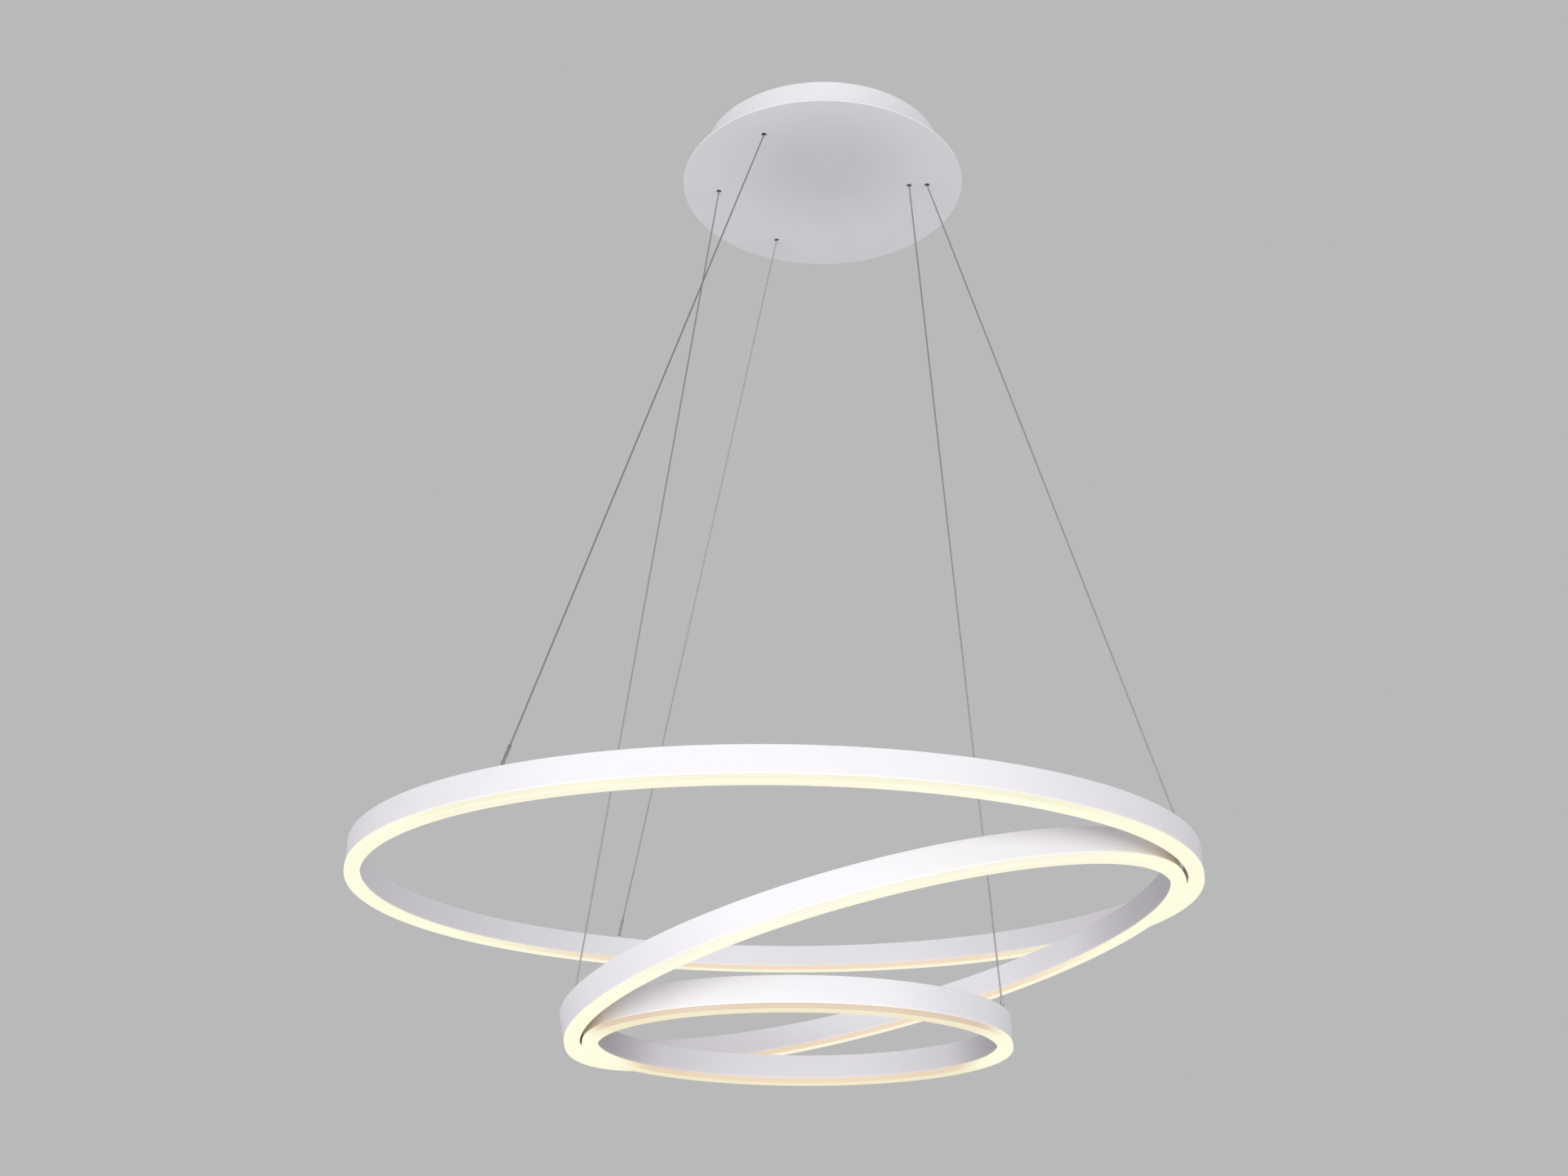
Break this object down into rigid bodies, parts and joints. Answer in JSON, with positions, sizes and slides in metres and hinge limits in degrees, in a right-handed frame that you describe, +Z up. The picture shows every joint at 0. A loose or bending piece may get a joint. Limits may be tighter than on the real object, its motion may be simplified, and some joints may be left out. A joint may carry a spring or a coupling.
{
  "type": "led ring chandelier",
  "caption": "White pendant of nested LED rings with opal undersides, hinged to one another and hung on slanting steel wires from a round ceiling canopy.",
  "frame": {"origin": "middle of the canopy, on the ceiling plane", "axes": "+Z up into the ceiling; +X from the canopy's middle towards the side where the big and middle ring meet; the light hangs below Z = 0"},
  "size_m": [0.8013, 0.8014, 0.9985],
  "materials": {
    "white_powder_coat": "fine satin powder coat",
    "opal_diffuser": "opal acrylic, lit warm white",
    "board_white": "white solder mask",
    "led_phosphor": "phosphor resin over the LED dice",
    "steel_wire": "bright stranded steel",
    "dark_steel": "blackened crimp sleeve",
    "zinc_steel": "zinc plated",
    "steel": "plain steel",
    "nickel_brass": "nickel plated brass",
    "brass": "turned brass",
    "white_plastic": "moulded polycarbonate",
    "clear_grey_plastic": "moulded polyamide"
  },
  "bodies": {
    "canopy": {"canopy_drum": "white_powder_coat", "canopy_plate": "white_powder_coat", "canopy_side_screws": "white_powder_coat", "ceiling_bracket": "zinc_steel", "driver_case": "white_plastic", "driver_lid": "white_plastic", "terminal_block": "clear_grey_plastic", "wire_gripper_bodies": "nickel_brass", "wire_left_front": "steel_wire", "wire_left_back": "steel_wire", "wire_right": "steel_wire", "wire_middle_ring": "steel_wire", "wire_small_ring": "steel_wire"},
    "ring_big": {"channel_big": "white_powder_coat", "diffuser_big": "opal_diffuser", "led_boards_big": "board_white", "led_lines_big": "led_phosphor", "wire_bosses_big": "white_powder_coat", "wire_ferrules_big": "dark_steel", "hinge_leaf_outer_right": "white_powder_coat", "hinge_pin_right": "steel"},
    "ring_middle": {"channel_middle": "white_powder_coat", "diffuser_middle": "opal_diffuser", "led_boards_middle": "board_white", "led_lines_middle": "led_phosphor", "wire_bosses_middle": "white_powder_coat", "wire_ferrules_middle": "dark_steel", "hinge_leaf_inner_right": "white_powder_coat", "hinge_leaf_outer_left": "white_powder_coat", "hinge_pin_left": "steel"},
    "ring_small": {"channel_small": "white_powder_coat", "diffuser_small": "opal_diffuser", "led_boards_small": "board_white", "led_lines_small": "led_phosphor", "wire_bosses_small": "white_powder_coat", "wire_ferrules_small": "dark_steel", "hinge_leaf_inner_left": "white_powder_coat"},
    "collet_left_front": {"gripper_collet_left_front": "brass"},
    "collet_left_back": {"gripper_collet_left_back": "brass"},
    "collet_right": {"gripper_collet_right": "brass"},
    "collet_middle_ring": {"gripper_collet_middle_ring": "brass"},
    "collet_small_ring": {"gripper_collet_small_ring": "brass"}
  },
  "joints": [
    {"name": "rings_lift", "type": "slide", "parent": "canopy", "child": "ring_big", "axis": [0, 0, 1], "range_m": [0, 0.3], "deforming": ["wire_left_front", "wire_left_back", "wire_right", "wire_middle_ring", "wire_small_ring"]},
    {"name": "middle_ring_tilt", "type": "hinge", "parent": "ring_big", "child": "ring_middle", "pos_m": [0.3388, 0, -0.838], "axis": [0, 0.9993, -0.0384], "range_deg": [0, 14.45], "deforming": ["wire_middle_ring", "wire_small_ring"]},
    {"name": "small_ring_tilt", "type": "hinge", "parent": "ring_middle", "child": "ring_small", "pos_m": [-0.22227, -0.00555, -0.98247], "axis": [0, 0.9993, -0.0384], "range_deg": [-14.45, 0]},
    {"name": "collet_press_left_front", "type": "slide", "parent": "canopy", "child": "collet_left_front", "axis": [0, 0, 1], "range_m": [0, 0.0015], "stiffness_N_per_m": 200, "springref_m": -0.001},
    {"name": "collet_press_left_back", "type": "slide", "parent": "canopy", "child": "collet_left_back", "axis": [0, 0, 1], "range_m": [0, 0.0015], "stiffness_N_per_m": 200, "springref_m": -0.001},
    {"name": "collet_press_right", "type": "slide", "parent": "canopy", "child": "collet_right", "axis": [0, 0, 1], "range_m": [0, 0.0015], "stiffness_N_per_m": 200, "springref_m": -0.001},
    {"name": "collet_press_middle_ring", "type": "slide", "parent": "canopy", "child": "collet_middle_ring", "axis": [0, 0, 1], "range_m": [0, 0.0015], "stiffness_N_per_m": 200, "springref_m": -0.001},
    {"name": "collet_press_small_ring", "type": "slide", "parent": "canopy", "child": "collet_small_ring", "axis": [0, 0, 1], "range_m": [0, 0.0015], "stiffness_N_per_m": 200, "springref_m": -0.001}
  ],
  "couplings": [
    {"joint": "small_ring_tilt", "follows": "middle_ring_tilt", "ratio": -1}
  ]
}
